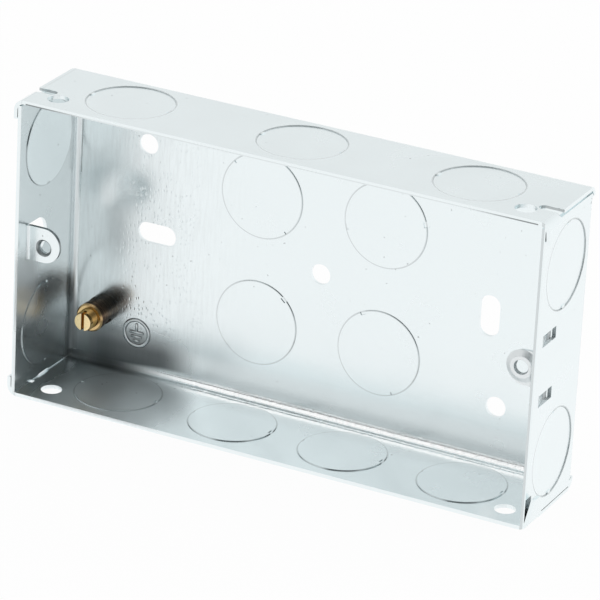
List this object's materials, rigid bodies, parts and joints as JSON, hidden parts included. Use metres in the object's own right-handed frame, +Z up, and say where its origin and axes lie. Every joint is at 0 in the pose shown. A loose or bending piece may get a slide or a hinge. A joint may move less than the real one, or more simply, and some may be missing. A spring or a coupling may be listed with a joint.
{
  "type": "metal back box",
  "caption": "Shallow folded steel box, open at the front, with round knockouts, fixing holes, a fixed and a sliding screw lug and a brass earth terminal; holds wiring accessories in a wall.",
  "frame": {"origin": "middle of the back's outer face, midway between the two round back fixing holes", "axes": "X along the box's length, Y from the open front to the back, Z up as the box stands on its long wall"},
  "size_m": [0.1344, 0.0269, 0.0734],
  "materials": {
    "galvanised_steel": "bright galvanised sheet, satin",
    "plated_steel": "bright zinc plate",
    "brass": "turned brass, lightly tarnished",
    "brass_screw": "bright turned brass"
  },
  "bodies": {
    "box": {"back_box": "galvanised_steel", "earth_terminal_pillar": "brass"},
    "lug": {"adjustable_lug": "plated_steel"},
    "terminal_screw": {"earth_terminal_screw": "brass_screw"}
  },
  "joints": [
    {"name": "lug_slide", "type": "slide", "parent": "box", "child": "lug", "axis": [0, 0, 1], "range_m": [-0.0007, 0.0018]},
    {"name": "terminal_screw_travel", "type": "slide", "parent": "box", "child": "terminal_screw", "axis": [0, 1, 0], "range_m": [-0.0012, 0.0028]}
  ]
}
